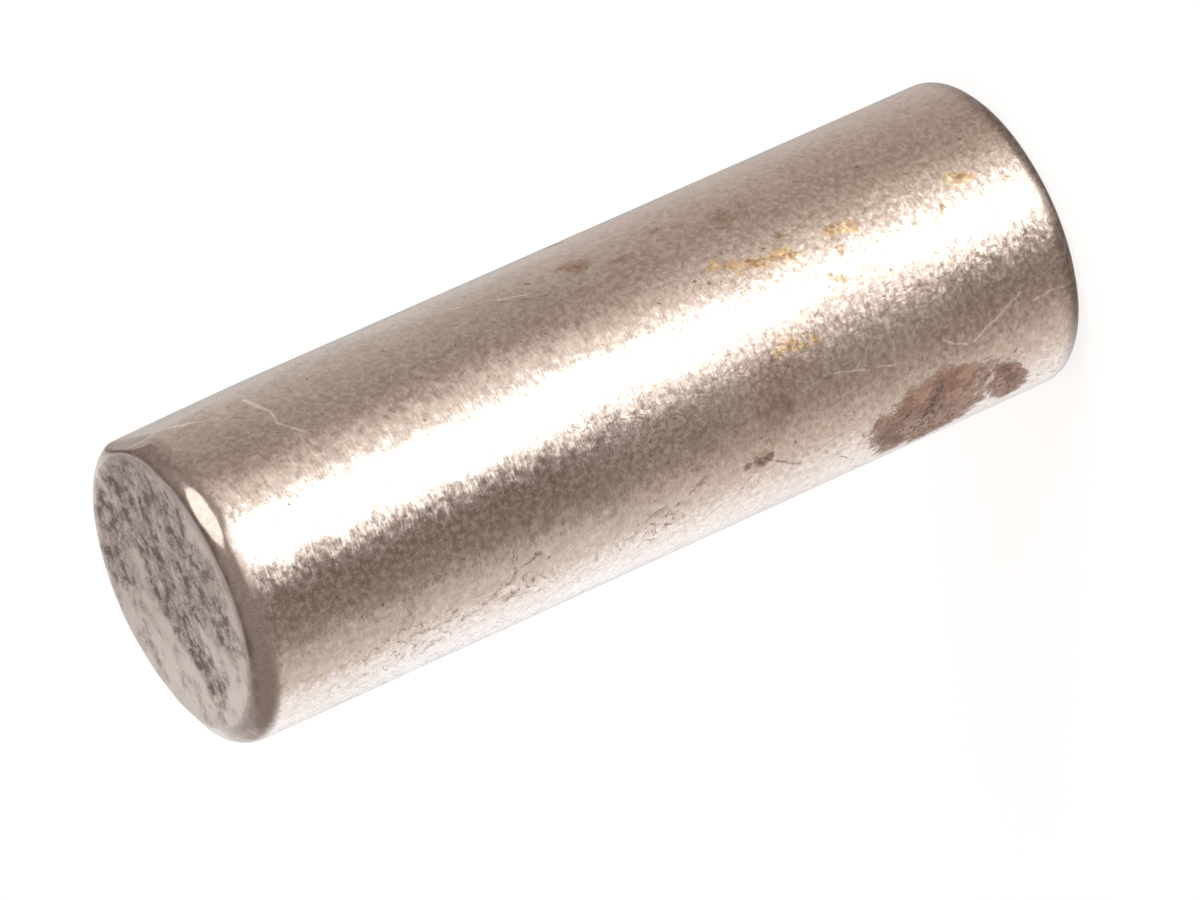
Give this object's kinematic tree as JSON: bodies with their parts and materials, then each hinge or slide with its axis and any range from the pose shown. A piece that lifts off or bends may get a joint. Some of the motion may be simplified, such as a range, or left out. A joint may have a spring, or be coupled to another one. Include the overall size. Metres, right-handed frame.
{
  "type": "roller pin",
  "caption": "Short solid steel roller pin with flat end faces and rounded corners, worn, pitted and rust-stained, that rolls in a raceway or locks a slot.",
  "frame": {"origin": "centre of the bottom end face", "axes": "+Z along the roller's axis, up to the top end face; the roller stands on its bottom end"},
  "size_m": [0.004, 0.004, 0.0118],
  "materials": {
    "worn_steel": "ground hardened steel, dulled and finely pitted, with rust stains and scratches; end faces matte and etched"
  },
  "bodies": {
    "root": {"roller_pin": "worn_steel"}
  },
  "joints": []
}
